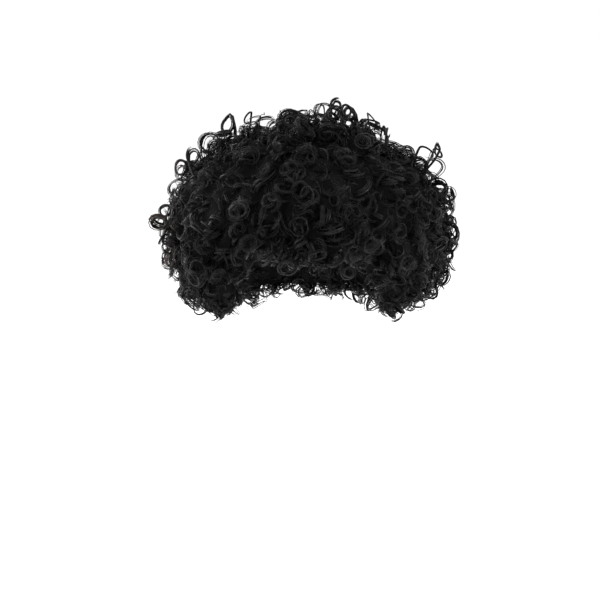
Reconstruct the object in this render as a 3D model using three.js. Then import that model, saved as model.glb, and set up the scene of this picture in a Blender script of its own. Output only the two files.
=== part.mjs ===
// A curly afro wig: a stretch cap that ends in an elastic band, with rows of curls sewn round it.
// Millimetres, +Z up. The wearer faces -Y, and the origin is where the top of the head meets the cap.
import * as THREE from "three";
import { mergeVertices } from "three/addons/utils/BufferGeometryUtils.js";

// The head that the cap is made for
const HEAD_WIDTH = 156;
const HEAD_LENGTH = 196;
const HEAD_RISE = 95; // from the widest level of the head up to its top

// The cap and its band
const CAP_WALL = 1.6;
const CAP_DROP = 138; // from the top of the head down to the edge at the nape
const BAND_WALL = 1.8;
const BAND_WIDTH = 12;
const SEAM_GAP = 0.3; // left between the cap and its band
const ROOT_GAP = 0.5; // left between the cap and the roots of the hair

// The hair
const TOP_THICKNESS = 47; // over the top of the head
const SIDE_THICKNESS = 91; // beside the head, where it is widest
const HEM_DROP = 184; // from the top of the head down to the lowest curls beside the face
const HEM_CLEARANCE = 8; // from the head to the inner edge of the hem
const HEM_SQUARENESS = 3; // power of the curve from the widest level down to the hem; 2 is an ellipse
const WIDEST_SHARE = 0.6; // of the surface's length, from the top down to its widest level
const ROW_GAP = 1.4; // left between two rows of curls
const ROOT_WIDTH = 6; // of the strip that a row is sewn on
const WALL_BEND = 0.45; // where the side of a row bends, as a share of the hair's length
const LOCK_DEPTH = 17; // of the grooves between the locks of a row
const ROW_DEPTH = 13; // of the grooves between rows
const LOCK_SPREAD = 7; // how much one lock is longer or shorter than the next
const LOCK_TWIST = 4; // how far a lock leans aside, from its crest to its edges
const CREST_SHARE = 0.42; // where a row's crest lies, from the row's middle to its parting
const EDGE_GROOVE = 0.5; // of the depth between locks, at a row's edges
const STEPS_PER_LOCK = 3;

// The steps that the cap is built in
const CAP_STEPS = 54; // round the head
const CAP_RINGS = 10; // from the crown to the band

// Sections at an angle from the front, the same on the left and on the right.
// edge is a share of CAP_DROP, thick of SIDE_THICKNESS, and wide and hem are shares of HEM_DROP.
const SECTIONS = [
  { angle: 0, edge: 0.45, thick: 0.6, wide: 0.36, hem: 0.6 },
  { angle: 30, edge: 0.48, thick: 0.69, wide: 0.38, hem: 0.6 },
  { angle: 44, edge: 0.55, thick: 0.83, wide: 0.43, hem: 0.74 },
  { angle: 58, edge: 0.67, thick: 0.95, wide: 0.46, hem: 0.96 },
  { angle: 90, edge: 0.8, thick: 1, wide: 0.46, hem: 1 },
  { angle: 135, edge: 0.92, thick: 0.96, wide: 0.47, hem: 1 },
  { angle: 180, edge: 1, thick: 0.86, wide: 0.48, hem: 0.97 },
];

// The faces between rows, from the crown down. cap is the share of the cap's section where one starts,
// surface the share of the hair's surface where it ends, and loft how far it stands up off the cap first.
// Each wanders up and down in a number of waves round the head.
const PARTINGS = [
  { cap: 0.11, surface: 0.1, loft: 0.2, waves: 2 },
  { cap: 0.21, surface: 0.2, loft: 0.25, waves: 3 },
  { cap: 0.31, surface: 0.31, loft: 0.3, waves: 5 },
  { cap: 0.41, surface: 0.42, loft: 0.35, waves: 4 },
  { cap: 0.52, surface: 0.53, loft: 0.4, waves: 7 },
  { cap: 0.63, surface: 0.64, loft: 0.4, waves: 5 },
  { cap: 0.74, surface: 0.75, loft: 0.4, waves: 8 },
  { cap: 0.85, surface: 0.87, loft: 0.35, waves: 6 },
  { cap: 1, surface: 1, loft: 0.25, waves: 0 },
];
const WANDER = 0.022; // up and down, as a share of the hair's surface

// Rows of curls between those faces, from the crown down. seam is where a row is sewn to the cap,
// shift turns its first lock, as a share of a lock, so that the locks of two rows don't line up,
// and depth is a share of LOCK_DEPTH.
const ROWS = [
  { seam: 0.16, locks: 10, shift: 0.2, depth: 0.7 },
  { seam: 0.26, locks: 16, shift: 0.7, depth: 0.9 },
  { seam: 0.36, locks: 21, shift: 0.1, depth: 1 },
  { seam: 0.465, locks: 24, shift: 0.55, depth: 1 },
  { seam: 0.575, locks: 26, shift: 0.3, depth: 1 },
  { seam: 0.685, locks: 26, shift: 0.8, depth: 1 },
  { seam: 0.795, locks: 24, shift: 0.4, depth: 0.9 },
  { seam: 0.895, locks: 21, shift: 0.05, depth: 0.8 },
];
const CROWN = { seam: 0.045, locks: 7, shift: 0.5, depth: 0.25 };

// Places where the outline stands out or falls in. angle is from the front, positive to +X,
// surface as in PARTINGS, rise a share of SIDE_THICKNESS and spread a share of half a turn.
const TUFTS = [
  { angle: 78, surface: 0.1, rise: 0.15, spread: 0.08 },
  { angle: -82, surface: 0.24, rise: 0.05, spread: 0.1 },
  { angle: 88, surface: 0.27, rise: -0.1, spread: 0.1 },
  { angle: 90, surface: 0.4, rise: 0.06, spread: 0.08 },
  { angle: -90, surface: 0.44, rise: -0.04, spread: 0.08 },
  { angle: -88, surface: 0.58, rise: 0.04, spread: 0.06 },
  { angle: 92, surface: 0.68, rise: 0.08, spread: 0.1 },
  { angle: -88, surface: 0.74, rise: -0.12, spread: 0.08 },
  { angle: 90, surface: 0.8, rise: -0.13, spread: 0.07 },
  { angle: -24, surface: 0.95, rise: -0.09, spread: 0.1 },
  { angle: 4, surface: 0.97, rise: 0.09, spread: 0.09 },
  { angle: 165, surface: 0.45, rise: 0.07, spread: 0.14 },
  { angle: -140, surface: 0.75, rise: 0.06, spread: 0.12 },
];

const COLOURS = { hair: 0x121212, net: 0x1a1a1b, elastic: 0x161617 };

const GOLDEN_SHARE = (Math.sqrt(5) - 1) / 2;

const mix = THREE.MathUtils.lerp;

// A number from 0 to 1 that is always the same for the same row and lock.
function scatter(row, lock) {
  return (row * Math.SQRT2 + lock * GOLDEN_SHARE) % 1;
}

// The values of SECTIONS at an angle, eased from one row of the table to the next.
function sectionAt(angle) {
  const turned = THREE.MathUtils.euclideanModulo(angle + 180, 360) - 180;
  const away = Math.abs(turned);
  const next = Math.max(1, SECTIONS.findIndex((s) => s.angle >= away));
  const [a, b] = [SECTIONS[next - 1], SECTIONS[next]];
  const share = THREE.MathUtils.smoothstep(away, a.angle, b.angle);
  return {
    edge: mix(a.edge, b.edge, share) * CAP_DROP,
    thick: mix(a.thick, b.thick, share) * SIDE_THICKNESS,
    wide: mix(a.wide, b.wide, share) * HEM_DROP,
    hem: mix(a.hem, b.hem, share) * HEM_DROP,
  };
}

// The head's radius at an angle, at its widest level.
function headRadius(angle) {
  const turn = THREE.MathUtils.degToRad(angle);
  return 1 / Math.hypot((Math.sin(turn) * 2) / HEAD_WIDTH, (Math.cos(turn) * 2) / HEAD_LENGTH);
}

// A point at an angle, a distance out from the axis and a height.
function pointAt(angle, out, height) {
  const turn = THREE.MathUtils.degToRad(angle);
  return new THREE.Vector3(Math.sin(turn) * out, -Math.cos(turn) * out, height);
}

// How far the cap's section at an angle turns over the head, from the crown to the edge.
function capTurn(angle) {
  return Math.acos(1 - sectionAt(angle).edge / HEAD_RISE);
}

// A width on the cap as a share of its section at an angle.
function capShare(angle, width) {
  return width / (capTurn(angle) * HEAD_RISE);
}

// A point of the head under the cap, raised off it by an offset. share runs from the crown to the edge.
function onHead(angle, share, offset) {
  const fall = capTurn(angle) * share;
  const radius = headRadius(angle);
  const normal = new THREE.Vector2(Math.sin(fall) / radius, Math.cos(fall) / HEAD_RISE).normalize();
  return {
    out: radius * Math.sin(fall) + normal.x * offset,
    height: HEAD_RISE * (Math.cos(fall) - 1) + normal.y * offset,
    normal,
  };
}

// How far the tufts push the surface out at a place.
function tuftRise(angle, surface) {
  const half = Math.PI / 2;
  const place = pointAt(angle, Math.sin(surface * half), Math.cos(surface * half));
  return TUFTS.reduce((sum, t) => {
    const middle = pointAt(t.angle, Math.sin(t.surface * half), Math.cos(t.surface * half));
    const nearness = Math.exp(-place.distanceToSquared(middle) / (t.spread * Math.PI) ** 2);
    return sum + t.rise * SIDE_THICKNESS * nearness;
  }, 0);
}

// A point of the hair's outer surface: a quarter ellipse down to the widest level, then a squarer curve.
function onSurface(angle, share) {
  const { thick, wide, hem } = sectionAt(angle);
  const reach = headRadius(angle) + thick;
  if (share <= WIDEST_SHARE) {
    const fall = (share / WIDEST_SHARE) * (Math.PI / 2);
    return { out: reach * Math.sin(fall), height: (TOP_THICKNESS + wide) * Math.cos(fall) - wide };
  }
  const power = 2 / HEM_SQUARENESS;
  const last = Math.acos(((headRadius(angle) + HEM_CLEARANCE) / reach) ** (1 / power));
  const fall = ((share - WIDEST_SHARE) / (1 - WIDEST_SHARE)) * last;
  const depth = (hem - wide) / Math.sin(last) ** power;
  return { out: reach * Math.cos(fall) ** power, height: -wide - depth * Math.sin(fall) ** power };
}

// The way that hair grows at an angle: off the cap to a bend, and straight on to the surface.
// aside moves the straight stretch towards the crown, square to itself.
function hairPath(angle, { cap, surface, loft, waves = 0, aside = 0 }) {
  const { out, height, normal } = onHead(angle, cap, Math.max(CAP_WALL, BAND_WALL) + ROOT_GAP);
  const wave = Math.sin(waves * (THREE.MathUtils.degToRad(angle) + waves));
  const end = onSurface(angle, surface + WANDER * wave);
  const root = new THREE.Vector2(out, height);
  const tip = new THREE.Vector2(end.out, end.height);
  const lift = root.clone().addScaledVector(normal, root.distanceTo(tip) * loft);
  const bend = new THREE.QuadraticBezierCurve(root, lift, tip).getPoint(WALL_BEND);
  const along = tip.clone().sub(bend).normalize();
  const shift = new THREE.Vector2(-along.y, along.x).multiplyScalar(aside);
  return { bend: bend.add(shift), tip: tip.add(shift), along };
}

// Where the side of a row bends.
function bendOf(angle, hair) {
  const { bend } = hairPath(angle, hair);
  return pointAt(angle, bend.x, bend.y);
}

// Where the hair ends, a groove's depth short of the surface. twist moves the end round the head.
function tipOf(angle, hair, groove, twist = 0) {
  const turned = angle + THREE.MathUtils.radToDeg(twist / hairPath(angle, hair).tip.x);
  const { tip, along } = hairPath(turned, hair);
  tip.addScaledVector(along, tuftRise(turned, hair.surface) - groove);
  return pointAt(turned, tip.x, tip.y);
}

// A closed body from the same number of section points at each of the steps round the head.
// Where a section starts and ends on the axis, its end triangles have no area and are left out.
function bodyOf(steps, sectionOf) {
  const sections = Array.from({ length: steps }, (_, step) => sectionOf((step * 360) / steps, step));
  const count = sections[0].length;
  const triangles = [];
  for (let step = 0; step < steps; step++) {
    for (let i = 0; i < count; i++) {
      const [here, ahead] = [sections[step], sections[(step + 1) % steps]];
      const next = (i + 1) % count;
      triangles.push([here[i], here[next], ahead[next]], [here[i], ahead[next], ahead[i]]);
    }
  }
  const same = (a, b) => a.distanceTo(b) < 1e-6;
  const kept = triangles.filter(([a, b, c]) => !same(a, b) && !same(b, c) && !same(c, a));
  const geometry = new THREE.BufferGeometry().setFromPoints(kept.flat());
  const merged = mergeVertices(geometry, 1e-5);
  merged.computeVertexNormals();
  return merged;
}

// A wall on the head. between gives the shares of a section where it starts and ends.
function wallOf(wall, rings, between) {
  return bodyOf(CAP_STEPS, (angle) => {
    const [from, to] = between(angle);
    const shares = Array.from({ length: rings + 1 }, (_, ring) => mix(from, to, ring / rings));
    const placed = (share, offset) => {
      const { out, height } = onHead(angle, share, offset);
      return pointAt(angle, out, height);
    };
    const outside = shares.map((share) => placed(share, wall));
    const inside = shares.map((share) => placed(share, 0)).reverse();
    return [...outside, ...inside];
  });
}

function capGeometry() {
  return wallOf(CAP_WALL, CAP_RINGS, (angle) => [0, 1 - capShare(angle, BAND_WIDTH + SEAM_GAP)]);
}

function bandGeometry() {
  return wallOf(BAND_WALL, 1, (angle) => [1 - capShare(angle, BAND_WIDTH), 1]);
}

// The groove at a step of a row: none on the two crests of a lock, the whole depth between locks,
// and each lock a little longer or shorter than the next.
function grooveAt(row, index, step) {
  const lock = Math.floor(step / STEPS_PER_LOCK);
  const valley = step % STEPS_PER_LOCK === 0;
  return (valley ? LOCK_DEPTH : (scatter(index, lock) - 0.5) * 2 * LOCK_SPREAD) * row.depth;
}

// Half of a row's outer skin at a step: its edge at a parting, and the crest nearer to its middle.
function skinHalf(row, index, angle, step, parting, middle, side) {
  const groove = grooveAt(row, index, step);
  const crest = { ...middle, surface: mix(middle.surface, parting.surface, CREST_SHARE) };
  return {
    edge: tipOf(angle, parting, ROW_DEPTH + groove * EDGE_GROOVE, side * LOCK_TWIST),
    crest: tipOf(angle, crest, groove, (side * LOCK_TWIST) / 2),
  };
}

// One row of locks: a narrow root on its strip, two sides that open to the partings, and the skin.
function rowGeometry(row, index) {
  const upper = { ...PARTINGS[index], aside: -ROW_GAP / 2 };
  const lower = { ...PARTINGS[index + 1], aside: ROW_GAP / 2 };
  const middle = {
    cap: row.seam,
    surface: (upper.surface + lower.surface) / 2,
    loft: (upper.loft + lower.loft) / 2,
  };
  return bodyOf(row.locks * STEPS_PER_LOCK, (base, step) => {
    const angle = base + (row.shift * 360) / row.locks;
    const top = skinHalf(row, index, angle, step, upper, middle, -1);
    const bottom = skinHalf(row, index, angle, step, lower, middle, 1);
    const root = (side) => {
      const share = row.seam + side * capShare(angle, ROOT_WIDTH / 2);
      const { out, height } = onHead(angle, share, CAP_WALL + ROOT_GAP);
      return pointAt(angle, out, height);
    };
    return [
      root(-1),
      bendOf(angle, upper),
      top.edge,
      top.crest,
      bottom.crest,
      bottom.edge,
      bendOf(angle, lower),
      root(1),
    ];
  });
}

// The curls on the crown, which close over the axis.
function crownGeometry() {
  const parting = { ...PARTINGS[0], aside: ROW_GAP / 2 };
  const top = { cap: 0, surface: 0, loft: 0 };
  return bodyOf(CROWN.locks * STEPS_PER_LOCK, (base, step) => {
    const angle = base + (CROWN.shift * 360) / CROWN.locks;
    const { edge, crest } = skinHalf(CROWN, ROWS.length, angle, step, parting, top, 1);
    const { out, height } = onHead(angle, CROWN.seam, CAP_WALL + ROOT_GAP);
    const pole = (z) => new THREE.Vector3(0, 0, z);
    return [
      pole(TOP_THICKNESS),
      crest,
      edge,
      bendOf(angle, parting),
      pointAt(angle, out, height),
      pole(CAP_WALL + ROOT_GAP),
    ];
  });
}

function finish(color, roughness) {
  return new THREE.MeshStandardMaterial({ color, roughness, metalness: 0, flatShading: true });
}

function named(name, geometry, material) {
  const mesh = new THREE.Mesh(geometry, material);
  mesh.name = name;
  return mesh;
}

const wig = new THREE.Group();
wig.add(named("cap", capGeometry(), finish(COLOURS.net, 0.9)));
wig.add(named("edge_band", bandGeometry(), finish(COLOURS.elastic, 0.8)));
wig.add(named("crown_curls", crownGeometry(), finish(COLOURS.hair, 0.45)));
ROWS.forEach((row, index) => {
  wig.add(named(`curl_row_${index + 1}`, rowGeometry(row, index), finish(COLOURS.hair, 0.45)));
});

export default wig;
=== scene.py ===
"""Dresses a curly afro wig: the net cap and its elastic, the dense hair under the curls, and the curls."""

import math

import bmesh
import bpy
import numpy as np
from mathutils import Matrix, Vector


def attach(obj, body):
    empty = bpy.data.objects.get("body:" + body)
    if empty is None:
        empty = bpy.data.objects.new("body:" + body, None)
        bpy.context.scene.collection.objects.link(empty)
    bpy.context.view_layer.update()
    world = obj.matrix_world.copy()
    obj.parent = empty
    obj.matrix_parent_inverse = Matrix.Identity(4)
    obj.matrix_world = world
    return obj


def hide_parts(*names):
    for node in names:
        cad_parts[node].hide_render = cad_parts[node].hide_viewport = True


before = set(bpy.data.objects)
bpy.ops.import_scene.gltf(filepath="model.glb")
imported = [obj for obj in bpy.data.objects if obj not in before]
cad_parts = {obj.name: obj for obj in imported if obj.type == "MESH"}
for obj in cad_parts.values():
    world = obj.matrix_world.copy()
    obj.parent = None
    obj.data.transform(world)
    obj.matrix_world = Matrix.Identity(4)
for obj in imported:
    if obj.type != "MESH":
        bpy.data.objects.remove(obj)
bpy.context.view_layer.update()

bl_info = {
    "name": "Curly afro wig",
    "version": (1, 0, 0),
    "blender": (4, 5, 0),
    "location": "3D View > Sidebar > Wig",
    "description": "Builds a full curly wig on a stretch net cap",
    "category": "Add Mesh",
}

BODY = "root"
ROWS = sorted(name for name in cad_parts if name.startswith("curl_row_"))
HAIR_NODES = ["crown_curls", *ROWS]

# The wig's form, in metres and in shares of these lengths, as the part is built
HEAD_HALF_WIDTH = 0.078
HEAD_HALF_LENGTH = 0.098
HEAD_RISE = 0.095
CAP_DROP = 0.138
CAP_WALL = 0.0016
BAND_WALL = 0.0018
BAND_WIDTH = 0.012
SEAM_GAP = 0.0003
ROOT_GAP = 0.0005
TOP_THICKNESS = 0.047
SIDE_THICKNESS = 0.091
HEM_DROP = 0.184
HEM_CLEARANCE = 0.008
HEM_SQUARENESS = 3
WIDEST_SHARE = 0.6
WANDER = 0.022
SECTION_ANGLES = np.radians([0, 30, 44, 58, 90, 135, 180])
SECTIONS = {
    "edge": np.array([0.45, 0.48, 0.55, 0.67, 0.8, 0.92, 1]) * CAP_DROP,
    "thick": np.array([0.6, 0.69, 0.83, 0.95, 1, 0.96, 0.86]) * SIDE_THICKNESS,
    "wide": np.array([0.36, 0.38, 0.43, 0.46, 0.46, 0.47, 0.48]) * HEM_DROP,
    "hem": np.array([0.6, 0.6, 0.74, 0.96, 1, 1, 0.97]) * HEM_DROP,
}
# One value for each face between rows, after the crown's own pole
PARTINGS = {
    "cap": np.array([0, 0.11, 0.21, 0.31, 0.41, 0.52, 0.63, 0.74, 0.85, 1]),
    "surface": np.array([0, 0.1, 0.2, 0.31, 0.42, 0.53, 0.64, 0.75, 0.87, 1]),
    "loft": np.array([0, 0.2, 0.25, 0.3, 0.35, 0.4, 0.4, 0.4, 0.35, 0.25]),
    "waves": np.array([0, 2, 3, 5, 4, 7, 5, 8, 6, 0]),
}
SEAMS = np.array([0.16, 0.26, 0.36, 0.465, 0.575, 0.685, 0.795, 0.895])
WEFT_SHARE = 0.013
WEFT_RISE = 0.0008
# The locks of each row, from the crown down: how many go round, and the grooves between them
LOCKS = {
    "number": np.array([7, 10, 16, 21, 24, 26, 26, 24, 21]),
    "shift": np.array([0.5, 0.2, 0.7, 0.1, 0.55, 0.3, 0.8, 0.4, 0.05]),
    "depth": np.array([0.25, 0.7, 0.9, 1, 1, 1, 1, 0.9, 0.8]),
}
LOCK_DEPTH = 0.017
ROW_DEPTH = 0.013
LOCK_SPREAD = 0.007
GOLDEN_SHARE = (math.sqrt(5) - 1) / 2
# angle in degrees from the front, share of the surface, rise as a share of SIDE_THICKNESS, spread
TUFTS = [
    (78, 0.1, 0.15, 0.08),
    (-82, 0.24, 0.05, 0.1),
    (88, 0.27, -0.1, 0.1),
    (90, 0.4, 0.06, 0.08),
    (-90, 0.44, -0.04, 0.08),
    (-88, 0.58, 0.04, 0.06),
    (92, 0.68, 0.08, 0.1),
    (-88, 0.74, -0.12, 0.08),
    (90, 0.8, -0.13, 0.07),
    (-24, 0.95, -0.09, 0.1),
    (4, 0.97, 0.09, 0.09),
    (165, 0.45, 0.07, 0.14),
    (-140, 0.75, 0.06, 0.12),
]

# Single curls that stand clear of the outline, as seen from the front. In millimetres: across, height,
# towards the front, radius; then stretch of the ring upwards, lean in degrees, turns, strands
STRAY_CURLS = [
    (21.9, 60.5, 0, 9.4, 1, -10, 1.3, 6),
    (33.5, 61.2, 0, 6, 1, 20, 1.6, 5),
    (39.1, 56, 10, 5.5, 1, 0, 1.8, 6),
    (45, 54.5, 0, 6.5, 0.9, 60, 1.5, 5),
    (50.6, 53.5, 0, 8.5, 0.9, 30, 1.9, 7),
    (51.8, 45.5, 10, 8.5, 1, -20, 1.9, 7),
    (31.5, 53, 10, 7.8, 1, -40, 1.3, 5),
    (26.5, 47.9, 0, 6.5, 1, 10, 1.8, 6),
    (13.8, 54.5, 0, 7, 1.2, 20, 1.2, 2),
    (56.4, 37.4, 0, 6.5, 1.1, 0, 1.4, 4),
    (39.1, 46.7, 0, 6, 1, 45, 1.6, 7),
    (43.7, 37, 10, 9, 0.35, 25, 1.3, 6),
    (-17, 46, 0, 15, 1, 15, 1.6, 12),
    (-18, 46, 10, 11, 1, 40, 1.7, 12),
    (-20, 45, 10, 7, 1, 0, 1.8, 10),
    (-67.9, 51, 0, 9.5, 0.32, -48, 1, 2),
    (-59.8, 44, 0, 10, 0.4, -25, 0.6, 2),
    (-50.6, 50, 0, 2.2, 1, 0, 1.1, 2),
    (-89.7, 41, 0, 7.5, 1.45, 5, 1.4, 8),
    (-110, 17.5, 0, 11.5, 1, 20, 1.7, 6),
    (-106, 16.5, 10, 9, 1.1, -20, 1.7, 6),
    (-127.7, 0, 0, 7.2, 1.3, 10, 1.6, 7),
    (-141.5, -9, 0, 7.8, 1.2, 0, 1.6, 7),
    (-153.5, -32.5, 0, 5.5, 1.35, 5, 1.05, 1),
    (-169, -73, 0, 9.5, 1, 0, 2.1, 5),
    (-162, -58, 0, 7, 1, 40, 1.6, 6),
    (-156, -95, 0, 6.5, 1.1, 20, 1.4, 4),
    (-155, -117, 0, 7, 1, 0, 2.4, 7),
    (-141.5, -152, 0, 7.2, 1, 30, 1.8, 5),
    (-122, -173, 0, 8.5, 1, -20, 1.4, 4),
    (-98.5, -163, 20, 8.5, 1.1, 35, 1.6, 4),
    (-80.5, -158, 30, 8, 1, 20, 2.3, 7),
    (75, 44.3, 0, 8, 0.25, 55, 1.2, 5),
    (72.5, 44.3, 0, 11, 0.2, 15, 0.9, 4),
    (83, 43, 0, 3.2, 1, 0, 1.2, 3),
    (87.4, 31.5, 0, 1.3, 3.6, 10, 1.2, 6),
    (92, 32.5, 0, 1.3, 3.6, 12, 1.2, 6),
    (93.1, 20, 0, 1.1, 3, -5, 1.2, 4),
    (104.6, 15, 0, 6.5, 0.9, 0, 1.1, 2),
    (117.3, 10.5, 0, 8.5, 0.9, 10, 1.5, 7),
    (136.8, 8, 0, 11, 0.5, 35, 1, 2),
    (154.1, 8, 0, 2.8, 2.4, -35, 1.2, 8),
    (149.5, 10.5, 0, 2, 2, -10, 1.2, 6),
    (147.2, -7, 0, 9.5, 1, 20, 1.1, 4),
    (115, 1, 0, 9.5, 1, 30, 2, 8),
    (129, -8, 0, 10.5, 1, -20, 2.1, 8),
    (124, -13, 20, 9.5, 1, 50, 2.1, 8),
    (141.5, -20, 0, 10, 1, 10, 2, 8),
    (152.5, -33, 0, 9.5, 1, 40, 2.1, 8),
    (159, -50, 0, 9, 1, -30, 2, 7),
    (162.1, -39, 0, 7.5, 1.1, 0, 1.2, 2),
    (169, -41, 0, 1.4, 3.6, -15, 1.2, 7),
    (165.6, -56, 0, 6, 1.3, 10, 1.3, 3),
    (164, -86, 0, 11.5, 1.1, 0, 2.2, 8),
    (160, -110, 0, 10.5, 1, 20, 2, 7),
    (156.4, -130, 0, 5.8, 1.35, 35, 1.1, 2),
    (144, -152, 0, 9, 1, -20, 2.2, 8),
    (128.8, -159, 0, 6, 1.1, 10, 1.2, 2),
    (94.3, -170, 0, 7.8, 1, 30, 1.8, 6),
    (112, -160, 10, 8.5, 1, -30, 1.7, 4),
    (-20.7, -104, 133, 8.8, 0.85, 0, 1.5, 7),
    (21.9, -110, 130, 7.5, 0.9, 20, 1.4, 6),
    (44.9, -111, 130, 8, 0.8, -15, 1.5, 6),
]
# A stray curl starts within its ring, drawn out by a stem towards the middle of the hair's depth
STEM = 0.027
STEM_REACH = 0.1
HAIR_LEVEL = -0.06
STRAY_DEPTH = 0.08
FRINGE_FORWARD = 0.05  # those of the fringe, further forward than this, stay at their depth
STRAY_LENGTH = (0.01, 0.018)
STRAY_BEND = 0.004
STRAY_TILT = 0.2
LONG_STRETCH = 1.4  # those stretched by more run out to a point
LONG_POINT = 0.5
STRAY_COARSENESS = 1.25
STRAY_SCATTER = 1.3
STRAY_STEPS = 26
DEEP_COARSENESS = 1.5
DEEP_PROUD = (-0.011, -0.004)
DEEP_STEPS = 13

# What chance gives a curl on the surface: low and high, or middle and spread where it says so
LYING_SHARE = 0.5
HANGING_SHARE = 0.3  # of those that lie
LYING_TILT = (0.9, 1.5)
UPRIGHT_TILT = (0, 0.45)  # middle and spread
PROUD = (0.001, 0.0035)  # middle and spread
PROUD_LIMITS = (-0.006, 0.007)
RADIUS_SHARE = (0.72, 1.15)
HANGING_RADIUS = 0.65  # as a share of the others'
LENGTH = (0.010, 0.020)
HANGING_LENGTH = (0.026, 0.036)
HANGING_SCATTER = 0.3
TURNS = (1.1, 1.75)
HANGING_TURNS = (1.1, 1.5)
BEND = 0.009
# and a curl that faces the head
INNER_WAY = (0.35, 0.9)
INNER_DOWN = (0.2, 1)
INNER_ASIDE = 0.8
INNER_PROUD = (0.001, 0.005)
INNER_RADIUS_SHARE = (0.6, 0.9)
INNER_LENGTH = (0.012, 0.022)
INNER_TURNS = (1.1, 1.7)
INNER_BEND = 0.005
# and each strand of a curl
STRAND_PHASE = (-0.2, 0.2)
STRAND_TURNS = (0.93, 1.06)
STRAND_RADIUS = (-0.18, 0.08)
LOOSE_RADIUS = (1.1, 1.3)
STRAND_WIDTH = (0.7, 1.25)
FLAT_WIDTH = (1.4, 2.8)
FLAT_LEAN = (-1.2, 1.2)
STRAND_TINT = (-0.2, 0.2)

# Over the crown, a little to the right, the curls lie lower, and single curls stand clear above them
HOLLOW = 0.012
HOLLOW_ACROSS = 0.031
HOLLOW_WIDTH = 0.027
HOLLOW_FROM = 0.7  # of the normal's upward part, and fully when greater by the next
HOLLOW_OVER = 0.25
# On the far right the dense hair comes nearer to the surface, by this share of its inset
DENSE_SHARE = 0.22
DENSE_FROM = 0.1
DENSE_OVER = 0.045
# Strands to the left of this carry a painted warm light from the left, fully when further by the second
PAINTED_WARM_FROM = -0.13
PAINTED_WARM_OVER = 0.045
FINE_STEP = 0.02
SEED = 7

WORLD_STRENGTH = 1.1
CAMERA_ELEVATION = math.radians(10)
CAMERA_DISTANCE = 2.6
PIXEL = 0.00115  # of the photograph, at the wig
PHOTO_PIXELS = 600
SEAT_PIXEL = (306, 160)  # where the top of the head lies in the photograph
SENSOR_WIDTH = 36


# The form of the head, the cap and the hair


def eased(value):
    """Three times the square less twice the cube, between 0 and 1."""
    value = np.clip(value, 0, 1)
    return value * value * (3 - 2 * value)


def section(angle, name):
    """A column of SECTIONS at an angle from the front, eased between its rows, alike on both sides."""
    away = np.abs((angle + np.pi) % (2 * np.pi) - np.pi)
    after = np.clip(np.searchsorted(SECTION_ANGLES, away), 1, len(SECTION_ANGLES) - 1)
    start, end = SECTION_ANGLES[after - 1], SECTION_ANGLES[after]
    share = eased((away - start) / (end - start))
    values = SECTIONS[name]
    return values[after - 1] * (1 - share) + values[after] * share


def head_radius(angle):
    """The radius of the ellipse of the head's widest level at an angle."""
    return 1 / np.hypot(np.sin(angle) / HEAD_HALF_WIDTH, np.cos(angle) / HEAD_HALF_LENGTH)


def cap_turn(angle):
    """How far the cap's section turns over the head: the arc whose versed sine is its drop by the rise."""
    return np.arccos(1 - section(angle, "edge") / HEAD_RISE)


def cap_share(angle, width):
    """A width on the cap as a share of its section."""
    return width / (cap_turn(angle) * HEAD_RISE)


def on_head(angle, share, offset):
    """Distance out, height and normal of a point on the head's ellipse section, raised by an offset."""
    fall = cap_turn(angle) * share
    radius = head_radius(angle)
    across, up = np.sin(fall) / radius, np.cos(fall) / HEAD_RISE
    length = np.hypot(across, up)
    across, up = across / length, up / length
    out = radius * np.sin(fall) + across * offset
    return out, HEAD_RISE * (np.cos(fall) - 1) + up * offset, across, up


def on_surface(angle, share):
    """Distance out and height on the hair's surface: a quarter ellipse from the top down to the widest
    level, and under it a superellipse down to the hem."""
    thick, wide, hem = (section(angle, name) for name in ("thick", "wide", "hem"))
    inner = head_radius(angle) + HEM_CLEARANCE
    reach = head_radius(angle) + thick
    power = 2 / HEM_SQUARENESS
    fall = np.minimum(share / WIDEST_SHARE, 1) * np.pi / 2
    last = np.arccos((inner / reach) ** (1 / power))
    under = np.clip((share - WIDEST_SHARE) / (1 - WIDEST_SHARE), 0, 1) * last
    depth = (hem - wide) / np.sin(last) ** power
    above = share <= WIDEST_SHARE
    out = np.where(above, reach * np.sin(fall), reach * np.cos(under) ** power)
    height = np.where(
        above,
        (TOP_THICKNESS + wide) * np.cos(fall) - wide,
        -wide - depth * np.sin(under) ** power,
    )
    return out, height


def all_round(steps):
    """Evenly spaced angles of one whole turn."""
    return np.linspace(0, 2 * np.pi, steps, endpoint=False)


def points(angle, out, height):
    """Places at an angle from the front, a distance from the axis and a height."""
    angle, out, height = np.broadcast_arrays(angle, out, height)
    return np.stack([np.sin(angle) * out, -np.cos(angle) * out, height], -1)


def unit(vectors):
    """Each vector over its own length."""
    return vectors / np.maximum(np.linalg.norm(vectors, axis=-1, keepdims=True), 1e-12)


def tuft_rise(angle, share):
    """The sum of the tufts, each a bell that falls with the distance on a unit quarter sphere."""
    def place(a, s):
        """The point of the unit sphere at that angle and a quarter turn's share from its pole."""
        return points(a, np.sin(s * np.pi / 2), np.cos(s * np.pi / 2))

    total = np.zeros(np.broadcast(angle, share).shape)
    for degrees, surface, rise, spread in TUFTS:
        gap = place(angle, share) - place(math.radians(degrees), surface)
        bell = np.exp(-(gap**2).sum(-1) / (spread * np.pi) ** 2)
        total = total + rise * SIDE_THICKNESS * bell
    return total


def across_rows(name, angle, place):
    """A column of PARTINGS at a place counted in rows from the pole; the surface column wanders in a sine
    of the angle at each parting."""
    low = np.clip(np.floor(place).astype(int), 0, len(PARTINGS[name]) - 2)
    share = place - low

    def at(index):
        """The column at whole partings, with their wander."""
        value = PARTINGS[name][index]
        if name != "surface":
            return value
        waves = PARTINGS["waves"][index]
        return value + WANDER * np.sin(waves * (angle + waves))

    return at(low) * (1 - share) + at(low + 1) * share


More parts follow.
